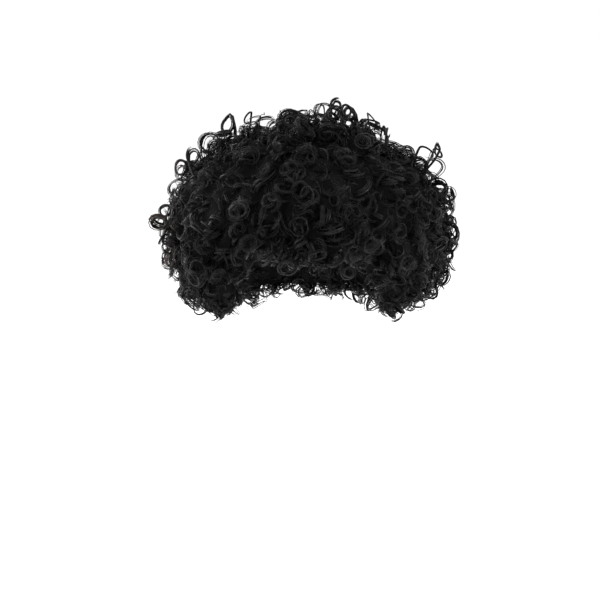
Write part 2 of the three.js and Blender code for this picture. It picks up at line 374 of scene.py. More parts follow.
def hair(angle, place, way, depth=0.0):
    """A point of the hair that grows at a place counted in rows: a quadratic curve that leaves the cap
    square to it and ends on the surface, cut short there by a depth, or carried on past it."""
    cap = across_rows("cap", angle, place)
    surface = across_rows("surface", angle, place)
    loft = across_rows("loft", angle, place)
    root_out, root_height, across, up = on_head(angle, cap, BAND_WALL + ROOT_GAP)
    tip_out, tip_height = on_surface(angle, surface)
    length = np.hypot(tip_out - root_out, tip_height - root_height)
    lift_out, lift_height = root_out + across * length * loft, root_height + up * length * loft

    def curve(root, lift, tip):
        """Bernstein's weights of the second degree."""
        return root * (1 - way) ** 2 + lift * 2 * way * (1 - way) + tip * way**2

    out = curve(root_out, lift_out, tip_out)
    height = curve(root_height, lift_height, tip_height)
    along_out, along_height = tip_out - lift_out, tip_height - lift_height
    along = np.hypot(along_out, along_height)
    rise = (tuft_rise(angle, surface) - depth) * way**2
    return points(angle, out + along_out / along * rise, height + along_height / along * rise)


def relief(angle, place):
    """How deep the surface lies at a place of a row. Round the head, a raised cosine to the power of one
    and a half falls into the groove between two locks, and each lock is longer or shorter by chance.
    Towards the row's edges, the fourth power of the distance from its middle takes over and falls to the
    depth of the partings."""
    rows = len(LOCKS["number"])
    row = np.clip(np.floor(place).astype(int), 0, rows - 1)
    number = LOCKS["number"][row]
    across = np.clip(place - row, 0, 1)
    turned = np.mod(angle / (2 * np.pi) * number - LOCKS["shift"][row], number)
    lock = np.floor(turned)
    groove = (0.5 + 0.5 * np.cos(2 * np.pi * (turned - lock))) ** 1.5
    chance = (np.mod(row - 1, rows) * math.sqrt(2) + lock * GOLDEN_SHARE) % 1
    depth = (1 - groove) * (chance - 0.5) * 2 * LOCK_SPREAD + groove * LOCK_DEPTH
    depth = depth * LOCKS["depth"][row] * np.where(row == 0, eased(across * 2), 1)
    edge = np.where(row == 0, across, np.abs(across * 2 - 1)) ** 4
    return depth * (1 - edge) + ROW_DEPTH * edge


def surface(angle, place):
    """A point of the hair's surface, with its locks."""
    return hair(angle, place, 1.0, relief(angle, place))


def differences(shape, one, two, one_step, two_step):
    """How far a shape's point moves, for each of its two parameters, from a step before to one after."""
    across = shape(one + one_step, two) - shape(one - one_step, two)
    return across, shape(one, two + two_step) - shape(one, two - two_step)


def surface_frame(angle, place):
    """A point of the surface with its outward normal and the directions round the head and down, from the
    differences to points a little way off, so that small grooves are smoothed over."""
    turn, rows = 0.04, 0.12
    around, down = differences(surface, angle, place, turn, rows)
    around = unit(around)
    normal = unit(np.cross(down, around))
    return surface(angle, place), normal, around, np.cross(around, normal)


# Meshes


def mesh_object(name, places, quads, triangles=None, layers=None, numbers=None):
    """An object from arrays: its points, its faces, UV maps by corner and numbers by point."""
    triangles = np.zeros((0, 3), int) if triangles is None else triangles
    mesh = bpy.data.meshes.new(name)
    mesh.vertices.add(len(places))
    mesh.vertices.foreach_set("co", np.ascontiguousarray(places, np.float32).ravel())
    corners = np.concatenate([quads.ravel(), triangles.ravel()]).astype(np.int32)
    sizes = np.concatenate([np.full(len(quads), 4), np.full(len(triangles), 3)])
    mesh.loops.add(len(corners))
    mesh.loops.foreach_set("vertex_index", corners)
    mesh.polygons.add(len(sizes))
    starts = np.concatenate([[0], np.cumsum(sizes)[:-1]]).astype(np.int32)
    mesh.polygons.foreach_set("loop_start", starts)
    mesh.polygons.foreach_set("use_smooth", np.ones(len(sizes), bool))
    for layer, spots in (layers or {}).items():
        flat = np.ascontiguousarray(spots, np.float32).ravel()
        mesh.uv_layers.new(name=layer).uv.foreach_set("vector", flat)
    for attribute, values in (numbers or {}).items():
        data = mesh.attributes.new(attribute, "FLOAT", "POINT").data
        data.foreach_set("value", np.ascontiguousarray(values, np.float32).ravel())
    mesh.update(calc_edges=True)
    mesh.validate()
    made = bpy.data.objects.new(name, mesh)
    bpy.context.scene.collection.objects.link(made)
    return made


def ring_of_sections(name, places, poles=False, numbers=None):
    """A closed body from sections, one at each angle round the head: neighbours in both directions are
    joined by quads, and the UV map unrolls it, round the head by round the section. A section closes on
    itself, or with poles starts and ends on the axis."""
    steps, count = places.shape[:2]
    last = count - 1 if poles else count
    at = np.arange(steps * count).reshape(steps, count)
    ahead, below = np.roll(at, -1, 0), np.roll(at, -1, 1)
    both = np.roll(ahead, -1, 1)
    quads = np.stack([at, below, both, ahead], -1)[:, :last].reshape(-1, 4)
    u, v = np.meshgrid(np.arange(steps) / steps, np.arange(last) / count, indexing="ij")
    corners = [(0, 0), (0, 1), (1, 1), (1, 0)]
    spots = np.stack([np.stack([u + du / steps, v + dv / count], -1) for du, dv in corners], 2)
    made = mesh_object(name, places.reshape(-1, 3), quads, layers={"OFBake": spots}, numbers=numbers)
    if poles:
        close_poles(made)
    return made


def close_poles(made):
    """Merges points that share a place, so that a section that meets the axis closes in one pole."""
    near = 1e-6
    work = bmesh.new()
    work.from_mesh(made.data)
    bmesh.ops.remove_doubles(work, verts=work.verts, dist=near)
    bmesh.ops.dissolve_degenerate(work, dist=near, edges=work.edges)
    work.to_mesh(made.data)
    work.free()


def strands(name, curls):
    """Fine closed tubes and flat bands: at each point of a path stands a triangle, square to the path's
    direction, as wide and as thick as the curls say and leant between the curl's axis and its radius. The
    triangles are joined and closed at both ends. Strands on the far left carry a painted warm light, as
    from the left, more so further out."""
    paths, axes, wide, thick, lean, tints = curls
    sides, spread = 3, 1.15
    count, steps = paths.shape[:2]
    along = unit(np.gradient(paths, axis=1))
    radial = unit(np.cross(along, axes[:, None, :]))
    sideways = np.cross(along, radial)
    lean = lean[:, None, None]
    flat = sideways * np.cos(lean) + radial * np.sin(lean)
    upright = np.cross(along, flat)
    turn = (0.25 + np.arange(sides) / sides) * 2 * np.pi
    ring = flat[:, :, None] * (wide[..., None] * np.cos(turn) * spread)[..., None]
    ring = ring + upright[:, :, None] * (thick[..., None] * np.sin(turn))[..., None]
    places = paths[:, :, None] + ring
    at = np.arange(count * steps * sides).reshape(count, steps, sides)
    a, b = at[:, :-1], at[:, 1:]
    quads = np.stack([a, np.roll(a, -1, 2), np.roll(b, -1, 2), b], -1).reshape(-1, 4)
    ends = np.concatenate([at[:, 0, ::-1], at[:, -1]])
    tint = np.broadcast_to(tints[:, None, None], (count, steps, sides))
    # the share of painted warm light on the strands at the far left, by each strand's tint
    painted_warm_light = eased((PAINTED_WARM_FROM - places[..., 0]) / PAINTED_WARM_OVER) * tint
    numbers = {"tint": tint, "painted_warm_light": painted_warm_light}
    layers = strand_maps(count, steps, sides)
    return mesh_object(name, places.reshape(-1, 3), quads, ends, layers=layers, numbers=numbers)


def strand_maps(count, steps, sides):
    """Two maps of each strand, round it by along it. In one, every strand has the whole map, and in the
    other it has an upright strip of a grid to itself."""
    slim, margin = 8, 0.05
    columns = int(np.ceil(np.sqrt(count * slim)))
    rows = int(np.ceil(count / columns))
    index = np.arange(count)
    left, low = index % columns, index // columns
    i, j = np.meshgrid(np.arange(steps - 1), np.arange(sides), indexing="ij")
    offsets = [(0, 0), (0, 1), (1, 1), (1, 0)]
    corners = np.stack([np.stack([(j + dj) / sides, (i + di) / steps], -1) for di, dj in offsets], 2)
    strip = np.stack([left, low], -1)
    quads = corners[None] * (1 - 2 * margin) + margin + strip[:, None, None, None, :]
    triangle = np.array([[0.1, 0.1], [0.5, 0.1], [0.3, 0.3]])
    ends = np.tile(strip[:, None, :] + triangle, (2, 1, 1))
    own = np.concatenate([quads.reshape(-1, 2), ends.reshape(-1, 2)]) / [columns, rows]
    whole_quads = np.broadcast_to(corners, (count, *corners.shape))
    whole_ends = np.broadcast_to(triangle, (2 * count, *triangle.shape))
    whole = np.concatenate([whole_quads.reshape(-1, 2), whole_ends.reshape(-1, 2)])
    return {"OFBake": own, "fibre": whole}


# Where the curls grow


def nearest(places, others):
    """The square of the distance from each place to the nearest of the others: the sum of both squares less
    twice their product."""
    square = (places**2).sum(1)[:, None] + (others**2).sum(1)[None] - 2 * places @ others.T
    return np.maximum(square.min(1), 0)


def curl_places(spacing, rng, taken=None, gap=0.0):
    """Places spread evenly over the surface: seeded darts weighed by area, and one is kept if it falls
    further than the spacing from those before it, and further than the gap from the taken points."""
    tries, first, largest = 16000, 0.05, 0.98
    angle = rng.uniform(-np.pi, np.pi, tries)
    place = rng.uniform(first, len(HAIR_NODES), tries)
    here = surface(angle, place)
    across, down = differences(lambda a, p: hair(a, p, 1.0), angle, place, FINE_STEP, FINE_STEP)
    area = np.linalg.norm(np.cross(across, down), axis=-1)
    likely = rng.uniform(0, np.quantile(area, largest), tries) < area
    if taken is not None:
        likely &= nearest(here, taken) > gap * gap
    angle, place, here = angle[likely], place[likely], here[likely]
    kept = []
    for index, spot in enumerate(here):
        gaps = here[kept] - spot
        if not kept or (gaps * gaps).sum(1).min() > spacing * spacing:
            kept.append(index)
    return angle[kept], place[kept]


def curl_paths(curls, sizes, steps, rng):
    """Strands of corkscrew curls. A point runs round an axis and on along it, at a radius that opens by an
    ease from the root and closes by the square of the way. The ring is a little oval, by the cosine of
    twice the turn, and may run out to a point by the eighth power of its sine. A curl's strands lie side
    by side in a band that fans out, each with its own radius, phase, turns and slow sine wave, and some
    stand wider. The curl bends aside as the square of the way. It is then moved along its outward
    direction until its highest point stands as proud as it should, and its start is drawn out by its
    stem. Some strands are flat, and all taper to a tip."""
    owner = np.repeat(np.arange(len(curls["strands"])), curls["strands"])
    count = len(owner)

    def each(low, high):
        """A chance value for every strand, alike along it."""
        return rng.uniform(low, high, count)[:, None]

    def of_curl(key):
        """The column's value of the curl that a strand belongs to."""
        return curls[key][owner][:, None]

    opens_by, closes, uneven, middle, drift = 0.2, 0.22, 0.06, 0.35, 0.06
    fan_from, fan_over, bends_from, stem_ends = 0.12, 0.8, 0.3, 0.3
    t = np.linspace(0, 1, steps)[None, :]
    wave = each(0, 2 * np.pi)
    loose = rng.random(count)[:, None] < sizes.loose_share
    scatter = of_curl("scatter")
    turn = of_curl("phase") + scatter * each(*STRAND_PHASE)
    turn = turn + of_curl("hand") * 2 * np.pi * of_curl("turns") * each(*STRAND_TURNS) * t
    opened, closed = 0.5 + 0.5 * eased(t / opens_by), 1 - closes * t * t
    radius = of_curl("radius") * np.where(loose, each(*LOOSE_RADIUS), 1 + scatter * each(*STRAND_RADIUS))
    oval = of_curl("oval") * np.cos(2 * turn)
    radius = radius * opened * closed * (1 + oval + uneven * np.sin(wave + 7 * t))
    radius = radius * (1 + of_curl("point") * np.clip(np.sin(turn), 0, 1) ** 8)
    slide = of_curl("length") * (t - middle + drift * np.sin(wave + 5 * t))
    fan = np.sin(np.pi * (fan_from + fan_over * t))
    slide = slide + each(-0.5, 0.5) * sizes.curl_band * fan
    ring = of_curl("first") * (np.cos(turn) * radius)[..., None]
    ring = ring + of_curl("second") * (np.sin(turn) * radius * of_curl("stretch"))[..., None]
    bend = of_curl("bend") * ((t - bends_from) ** 2)[..., None]
    paths = of_curl("axis") * slide[..., None] + ring + bend
    highest = (paths * of_curl("out")).sum(-1).max(1)
    extent = np.full(len(curls["strands"]), -1.0)
    np.maximum.at(extent, owner, highest)
    centre = curls["base"] + curls["out"] * (curls["proud"] - extent)[:, None]
    stem = of_curl("stem") * (1 - eased(t / stem_ends))[..., None]
    paths = paths + centre[owner][:, None] + stem
    taper = np.sqrt(np.clip(1.02 - t**6, 0.05, 1))
    thick = sizes.strand_width / 2 * of_curl("coarse") * each(*STRAND_WIDTH) * taper
    banded = rng.random(count)[:, None] < sizes.band_share
    wide = np.where(banded, thick * each(*FLAT_WIDTH), thick)
    lean = rng.uniform(*FLAT_LEAN, count)
    tints = np.clip(curls["tint"][owner] + rng.uniform(*STRAND_TINT, count), 0, 1)
    return paths, curls["axis"][owner], wide, thick, lean, tints


def square_to(axis, hint):
    """Two directions square to an axis, the second nearest to a hint."""
    first = unit(np.cross(hint, axis))
    return first, np.cross(axis, first)


def corkscrews(base, out, proud, axis, hint, rng, **own):
    """The columns that curl_paths reads, with chance values for those that aren't given."""
    count = len(base)
    first, second = square_to(axis, hint)
    given = dict(base=base, out=out, proud=proud, axis=axis, first=first, second=second)
    chance = dict(
        phase=rng.uniform(0, 2 * np.pi, count),
        hand=rng.choice([-1, 1], count),
        oval=rng.normal(0, 0.1, count),
        point=np.clip(rng.normal(0, 0.16, count), 0, 0.4),
        stretch=rng.uniform(0.85, 1.15, count),
        tint=rng.random(count) ** 1.8,
    )
    plain = dict(stem=np.zeros((count, 3)), coarse=np.ones(count), scatter=np.ones(count))
    return {**given, **chance, **plain, **own}


def grown_curls(angle, place, sizes, rng):
    """Curls on the surface. Some point out of it and show as rings, some lie over on their side and show as
    loops, and some hang and show as waves. Over the hollow they lie lower by a bell, the exponential of
    less the fourth power of the distance across, where the surface faces up."""
    count = len(angle)
    here, normal, around, down = surface_frame(angle, place)
    lying = rng.random(count) < LYING_SHARE
    hanging = lying & (rng.random(count) < HANGING_SHARE)
    tilt = np.where(lying, rng.uniform(*LYING_TILT, count), np.abs(rng.normal(*UPRIGHT_TILT, count)))
    heading = rng.uniform(0, 2 * np.pi, count)
    aside = around * np.cos(heading)[:, None] + down * np.sin(heading)[:, None]
    axis = normal * np.cos(tilt)[:, None] + aside * np.sin(tilt)[:, None]
    axis[hanging] = down[hanging] + HANGING_SCATTER * rng.normal(0, 1, (hanging.sum(), 3))
    radius = sizes.curl_radius * rng.uniform(*RADIUS_SHARE, count)
    across = (here[:, 0] - HOLLOW_ACROSS) / HOLLOW_WIDTH
    hollow = HOLLOW * np.exp(-(across**4)) * eased((normal[:, 2] - HOLLOW_FROM) / HOLLOW_OVER)

    def length_or_turns(hung, other):
        """A chance value in the first range for a curl that hangs, and in the second for another."""
        return np.where(hanging, rng.uniform(*hung, count), rng.uniform(*other, count))

    return corkscrews(
        here,
        normal,
        np.clip(rng.normal(*PROUD, count), *PROUD_LIMITS) - hollow,
        unit(axis),
        normal + 0.01,
        rng,
        radius=np.where(hanging, radius * HANGING_RADIUS, radius),
        length=length_or_turns(HANGING_LENGTH, LENGTH),
        turns=length_or_turns(HANGING_TURNS, TURNS),
        bend=rng.normal(0, BEND, (count, 3)),
        strands=rng.integers(sizes.strands_least, sizes.strands_most + 1, count),
    )


def inner_curls(angle, way, sizes, rng):
    """Curls on the side of the lowest row that faces the head. They lie along it and stand off it little,
    so that the head goes in."""
    count = len(angle)
    last = float(len(HAIR_NODES))
    here = hair(angle, last, way)
    around, down = differences(lambda a, w: hair(a, last, w), angle, way, FINE_STEP, FINE_STEP)
    around, down = unit(around), unit(down)
    inward = unit(np.cross(down, around))
    inward = inward * np.where((inward * points(angle, 1.0, 0.0)).sum(-1) > 0, -1, 1)[:, None]
    axis = down * rng.uniform(*INNER_DOWN, count)[:, None]
    axis = axis + around * rng.normal(0, INNER_ASIDE, count)[:, None]
    return corkscrews(
        here,
        inward,
        rng.uniform(*INNER_PROUD, count),
        unit(axis),
        inward + 0.01,
        rng,
        radius=sizes.curl_radius * rng.uniform(*INNER_RADIUS_SHARE, count),
        length=rng.uniform(*INNER_LENGTH, count),
        turns=rng.uniform(*INNER_TURNS, count),
        bend=rng.normal(0, INNER_BEND, (count, 3)),
        strands=rng.integers(sizes.strands_least, sizes.strands_most + 1, count),
    )


def stray_curls(rng):
    """The curls of STRAY_CURLS: rings that face the front, leant and stretched as the table says. Each lies
    nearer or further by a share that steps on by the golden share, and is raised by the tangent of the
    camera's elevation times that, so that it keeps its place in the photograph."""
    table = np.array(STRAY_CURLS).T
    across, height, forward, radius = table[:4] / 1000
    stretch, lean, turns, number = table[4:]
    count = len(across)
    none = np.zeros(count)
    nearer = ((np.arange(count) * GOLDEN_SHARE) % 1 - 0.5) * STRAY_DEPTH * (forward < FRINGE_FORWARD)
    forward, height = forward + nearer, height + nearer * math.tan(CAMERA_ELEVATION)
    aside, up = rng.normal(0, STRAY_TILT, count), rng.normal(0.1, STRAY_TILT, count)
    axis = unit(np.stack([aside, none - 1, up], -1))
    lean = np.radians(lean)
    upright = np.stack([np.sin(lean), none, np.cos(lean)], -1)
    curls = corkscrews(
        np.stack([across, -forward, height], -1),
        np.zeros((count, 3)),
        none,
        axis,
        upright,
        rng,
        radius=radius,
        length=rng.uniform(*STRAY_LENGTH, count),
        turns=turns,
        bend=rng.normal(0, STRAY_BEND, (count, 3)),
        stretch=stretch,
        point=np.where(stretch > LONG_STRETCH, LONG_POINT, 0.0),
        coarse=np.full(count, STRAY_COARSENESS),
        scatter=np.full(count, STRAY_SCATTER),
        strands=number.astype(int),
    )
    middle = np.clip(across, -STEM_REACH, STEM_REACH)
    inward = unit(np.stack([middle - across, none, HAIR_LEVEL - height], -1))
    curls["phase"] = np.arctan2((inward * curls["second"]).sum(-1), (inward * curls["first"]).sum(-1))
    curls["stem"] = inward * STEM
    return curls


# Shaders


def arithmetic(operation, swapped=False):
    """An operator on wires and numbers, which adds one Math node of the two, or of the two swapped."""
    return lambda one, two: one.maths(operation, *((two, one) if swapped else (one, two)))


class Wire:
    """A socket in an expression. Sums, products and the like of wires and numbers add Math nodes."""

    def __init__(self, shader, socket):
        """Keeps the socket and the shader that new nodes go into."""
        self.shader, self.socket = shader, socket

    def maths(self, operation, *values):
        """The result of a Math node."""
        return self.shader.node("Math", {"operation": operation}, dict(enumerate(values)))

    __add__ = __radd__ = arithmetic("ADD")
    __mul__ = __rmul__ = arithmetic("MULTIPLY")
    __sub__, __rsub__ = arithmetic("SUBTRACT"), arithmetic("SUBTRACT", swapped=True)
    __pow__ = arithmetic("POWER")

    def sine(self):
        """The sine of this in radians."""
        return self.maths("SINE", self)

    def between(self, low, high):
        """0 below low, 1 above high and eased between them."""
        settings = {"interpolation_type": "SMOOTHSTEP"}
        return self.shader.node("MapRange", settings, {"Value": self, "From Min": low, "From Max": high})


class Shader:
    """A material whose Principled shader is fed by expressions."""

    def __init__(self, name):
        """A new material with its own nodes."""
        self.material = bpy.data.materials.new(name)
        self.material.use_nodes = True
        self.tree = self.material.node_tree
        self.surface = self.tree.nodes["Principled BSDF"]

    def node(self, kind, settings=None, values=None, output=0):
        """Adds one node: its settings first, then the values or wires of its sockets."""
        made = self.tree.nodes.new("ShaderNode" + kind)
        for key, value in (settings or {}).items():
            setattr(made, key, value)
        for key, value in (values or {}).items():
            self.feed(made.inputs[key], value)
        return Wire(self, made.outputs[output])

    def feed(self, socket, value):
        """Links a wire to a socket, or writes a value into it."""
        if isinstance(value, Wire):
            self.tree.links.new(value.socket, socket)
        else:
            socket.default_value = value

    def mix(self, share, low, high):
        """A colour between two colours, each a wire or three shares."""
        low, high = (end if isinstance(end, Wire) else (*end, 1.0) for end in (low, high))
        settings = {"data_type": "RGBA"}
        return self.node("Mix", settings, {"Factor": share, 6: low, 7: high}, output=2)

    def place(self):
        """Object coordinates."""
        return self.node("TexCoord", output=3)

    def number(self, name):
        """A number that the mesh holds for each of its points."""
        return self.node("Attribute", {"attribute_name": name}, output=2)

    def unrolled(self, name, axis):
        """One coordinate of a UV map: 0 is round the piece and 1 along it."""
        return self.node("SeparateXYZ", {}, {0: self.node("UVMap", {"uv_map": name})}, axis)

    def noise(self, place, scale, detail=2.0, output=0):
        """Fractal noise of a place: a number, or with output 1 a colour."""
        return self.node("TexNoise", {}, {"Vector": place, "Scale": scale, "Detail": detail}, output)

    def bump(self, height, distance, strength=1.0):
        """The normal tilted by the slope of a height."""
        return self.node("Bump", {}, {"Height": height, "Distance": distance, "Strength": strength})

    def set(self, **sockets):
        """Feeds the Principled shader; a name's underscores are spaces."""
        for key, value in sockets.items():
            self.feed(self.surface.inputs[key.replace("_", " ")], value)
        return self.material


def curl_material(colours):
    """Curled synthetic fibre: each strand has its own shade of black, fine streaks run along it by a sine
    round it, and it shines softly. Strands on the far left are mixed towards a painted warm light."""
    shader = Shader("curled_fibre")
    streaks, fleck_scale, relief = 56.5, 500.0, 0.0002
    tint = shader.number("tint")
    fleck = shader.noise(shader.place(), fleck_scale, 3.0)
    stripe = (shader.unrolled("fibre", 0) * streaks + fleck * 2.0).sine() * 0.5 + 0.5
    share = tint * 0.6 + stripe * 0.35 + fleck * 0.3 - 0.15
    black = shader.mix(share, colours.hair_dark, colours.hair_light)
    return shader.set(
        # the strands at the far left are mixed towards a painted warm light
        Base_Color=shader.mix(shader.number("painted_warm_light"), black, colours.hair_bleached),
        Roughness=0.26 + fleck * 0.16,
        Specular_IOR_Level=0.085,
        Normal=shader.bump(stripe + fleck * 0.5, relief, 0.6),
    )


def core_material(colours):
    """The hair under the curls: rings round scattered centres, as curls that are seen deeper in, by a sine
    of the distance, with a dark middle each, broken up by noise. Its black is darker than the strands' as
    painted shade between the curls, the rings are painted lighter as the sheen of those deeper curls, and
    the dark middles are painted shade."""
    shader = Shader("hair_underneath")
    warp_scale, warp_reach, cell_scale, break_scale, ring_number = 55.0, 0.009, 62.0, 260.0, 34.0
    place = shader.place()
    warp = shader.noise(place, warp_scale, 3.0, output=1)
    warped = shader.node(
        "VectorMath",
        {"operation": "MULTIPLY_ADD"},
        {0: warp, 1: (warp_reach, warp_reach, warp_reach), 2: place},
    )
    cell = shader.node("TexVoronoi", {}, {"Vector": warped, "Scale": cell_scale})
    broken = shader.noise(place, break_scale, 4.0)
    rings = ((cell * ring_number + broken * 6.0).sine() * 0.5 + 0.5) ** 2.0
    ringed = (1.0 - cell.between(0.4, 0.75)) * cell.between(0.12, 0.4)
    # the rings, as relief for the bump and as a painted sheen in the colour
    relief = rings * ringed * (0.3 + broken * 1.1)
    return shader.set(
        # painted shade as the base colour, painted sheen on the rings
        Base_Color=shader.mix(relief, colours.core_black_and_shade, colours.core_painted_sheen),
        Roughness=0.8 - relief * 0.2,
        Specular_IOR_Level=0.02,
        Normal=shader.bump(relief, 0.002),
    )


def net_material(colours):
    """Stretch net: a diamond grid of fine threads, where either of two crossing sines is high, that follows
    the cap's unrolled map. The strips that the rows of hair are sewn on are darker and stitched across."""
    shader = Shader("stretch_net")
    threads_round, threads_along, stitches = 1100.0, 900.0, 1500.0
    across, along = shader.unrolled("OFBake", 0), shader.unrolled("OFBake", 1)
    one = (across * threads_round + along * threads_along).sine()
    two = (across * threads_round - along * threads_along).sine()
    thread = one.maths("MAXIMUM", one, two).between(0.2, 0.95)
    weft = shader.number("weft")
    stitch = (across * stitches).sine() * 0.5 + 0.5
    share = thread * (1.0 - weft) + stitch * weft * 0.35
    return shader.set(
        Base_Color=shader.mix(share, colours.net_dark, colours.net),
        Roughness=0.9 - share * 0.15,
        Specular_IOR_Level=0.2,
        Normal=shader.bump(share, 0.0004, 0.8),
    )


def elastic_material(colours):
    """Knitted elastic: fine ribs across the band, a sine round it, with a slow unevenness."""
    shader = Shader("knitted_elastic")
    ribs, uneven_scale = 2400.0, 120.0
    rib = (shader.unrolled("OFBake", 0) * ribs).sine() * 0.5 + 0.5
    uneven = shader.noise(shader.place(), uneven_scale)
    share = rib * 0.7 + uneven * 0.3
    return shader.set(
        Base_Color=shader.mix(share, colours.net_dark, colours.elastic),
        Roughness=0.85 - rib * 0.1,
        Specular_IOR_Level=0.25,
        Normal=shader.bump(rib + uneven * 0.5, 0.0003, 0.8),
    )


def floor_material(colours):
    """Plain pale floor, a little uneven in its tone by slow noise."""
    shader = Shader("pale_floor")
    cloud = shader.noise(shader.place(), 2.0)
    base = shader.mix(cloud, colours.floor, colours.floor_light)
    return shader.set(Base_Color=base, Roughness=0.9, Specular_IOR_Level=0.0)


# Settings that a user would change


def setting(kind, **limits):
    """A function that makes properties of one kind, all within the same limits."""
    return lambda name, description, default: kind(
        name=name, description=description, default=default, **limits
    )


size_setting = setting(bpy.props.FloatProperty, min=0, unit="LENGTH", precision=4)
share_setting = setting(bpy.props.FloatProperty, min=0, max=1, subtype="FACTOR")
number_setting = setting(bpy.props.IntProperty, min=1)
colour_setting = setting(bpy.props.FloatVectorProperty, min=0, max=1, size=3, subtype="COLOR")


class WigSizes(bpy.types.PropertyGroup):
    """Lengths, shares and numbers of the curls and the dense hair"""

    curl_radius: size_setting("Curl radius", "Radius of a corkscrew curl", 0.0105)
    curl_spacing: size_setting("Curl spacing", "Least distance between two curls", 0.0114)
    curl_band: size_setting("Curl band", "Width of the band of strands of a curl", 0.0055)
    strand_width: size_setting("Strand width", "Width of one visible strand", 0.00078)
    core_inset: size_setting("Inset", "From the surface down to the dense hair", 0.0185)
    lump: size_setting("Lump", "How far the dense hair swells under a curl", 0.004)
    band_share: share_setting("Band share", "Share of the strands that are flat bands", 0.35)
    loose_share: share_setting("Loose share", "Share of the strands that stand off their curl", 0.1)
    strands_least: number_setting("Fewest strands", "Strands in the thinnest curl", 5)
    strands_most: number_setting("Most strands", "Strands in the fullest curl", 7)
    strand_steps: number_setting("Steps", "Points along a strand", 17)
    deep_spacing: size_setting("Deep spacing", "Least distance between two deep curls", 0.0125)
    deep_gap: size_setting("Deep gap", "Least distance from a deep curl to the others", 0.0092)
    deep_strands: number_setting("Deep strands", "Strands in a deep curl", 2)
    inner_curls: number_setting("Inner curls", "Curls that face the head inside the hem", 155)


class WigColours(bpy.types.PropertyGroup):
    """Colours of the hair, the cap and the floor"""

    hair_dark: colour_setting("Dark hair", "The darkest strands", (0.0017, 0.0017, 0.0017))
    hair_light: colour_setting("Light hair", "The lightest strands", (0.0063, 0.0061, 0.0061))
    # a painted warm light from the left, which the strands at the far left are mixed towards
    hair_bleached: colour_setting("Bleached hair", "Strands bleached by the sun", (0.022, 0.013, 0.010))
    # the black of the deep hair, darker than the strands as painted shade between the curls
    core_black_and_shade: colour_setting("Deep hair", "Between the curls", (0.0013, 0.0013, 0.0013))
    # the painted sheen of the deep curls' rings, lighter than any strand
    core_painted_sheen: colour_setting("Deep curls", "Curls that show between the others", (0.0095, 0.009, 0.0088))
    net: colour_setting("Net", "Threads of the cap", (0.05, 0.05, 0.052))
    net_dark: colour_setting("Dark net", "Between the threads", (0.012, 0.012, 0.012))
    elastic: colour_setting("Elastic", "Ribs of the band", (0.045, 0.045, 0.047))
    floor: colour_setting("Floor", "The floor's darker patches", (0.9, 0.9, 0.9))
    floor_light: colour_setting("Light floor", "The floor's lighter patches", (0.96, 0.96, 0.96))


def finished(made, material, slot, *nodes):
    """Gives a piece its material and its body, and lets it stand for the nodes. The slot is not used."""
    made.data.materials.clear()
    made.data.materials.append(material)
    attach(made, BODY)
    if nodes:
        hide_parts(*nodes)


def hair_piece(name, curls, sizes, steps, rng, *nodes):
    """One mesh of all the strands of some curls, in the fibre that every curl is made of."""
    made = strands(name, curl_paths(curls, sizes, steps, rng))
    material = bpy.data.materials.get("curled_fibre") or curl_material(bpy.context.scene.wig_colours)
    finished(made, material, "hair", *nodes)


# Operators


class WIG_OT_cap(bpy.types.Operator):
    """Makes the net cap, with the strips that the rows of hair are sewn on as low ridges inside"""

    bl_idname = "wig.cap"
    bl_label = "Net cap"

    def execute(self, context):
        """The wall of the head's section: its outside and then its inside, where a narrow bell of the share
        of the section round each seam stands up as a strip."""
        steps, rings = 120, 60
        angle = all_round(steps)[:, None]
        share = np.linspace(0, 1, rings)[None, :] * (1 - cap_share(angle, BAND_WIDTH + SEAM_GAP))
        strip = np.exp(-(((share[..., None] - SEAMS) / WEFT_SHARE) ** 4)).sum(-1)

        def wall(offset):
            """The head's section raised by an offset."""
            out, height, _, _ = on_head(angle, share, offset)
            return points(angle, out, height)

        places = np.concatenate([wall(CAP_WALL), wall(-WEFT_RISE * strip)[:, ::-1]], 1)
        wefts = {"weft": np.concatenate([0 * strip, strip[:, ::-1]], 1)}
        made = ring_of_sections("net_cap", places, poles=True, numbers=wefts)
        finished(made, net_material(context.scene.wig_colours), "cap_net", "cap")
        return {"FINISHED"}


class WIG_OT_band(bpy.types.Operator):
    """Makes the elastic band round the cap's edge"""

    bl_idname = "wig.band"
    bl_label = "Elastic band"

    def execute(self, context):
        """A rounded section carried round the edge: across the band it is a superellipse, and a fine sine
        round the head gathers it."""
        steps, count, folds, fold = 360, 16, 60, 0.00018
        angle = all_round(steps)[:, None]
        turn = all_round(count)[None, :]

        def squared(wave):
            """A sine or cosine brought nearer to one and minus one by a small power."""
            return np.sign(wave) * np.abs(wave) ** 0.35

        half_width, half_wall = cap_share(angle, BAND_WIDTH) / 2, BAND_WALL / 2
        share = 1 - half_width - half_width * squared(np.cos(turn))
        gather = fold * np.sin(angle * folds) * np.abs(np.sin(turn))
        offset = half_wall + (half_wall - 0.0002) * squared(np.sin(turn))
        out, height, _, _ = on_head(angle, share, offset + gather)
        made = ring_of_sections("elastic_band", points(angle, out, height))
        finished(made, elastic_material(context.scene.wig_colours), "elastic", "edge_band")
        return {"FINISHED"}


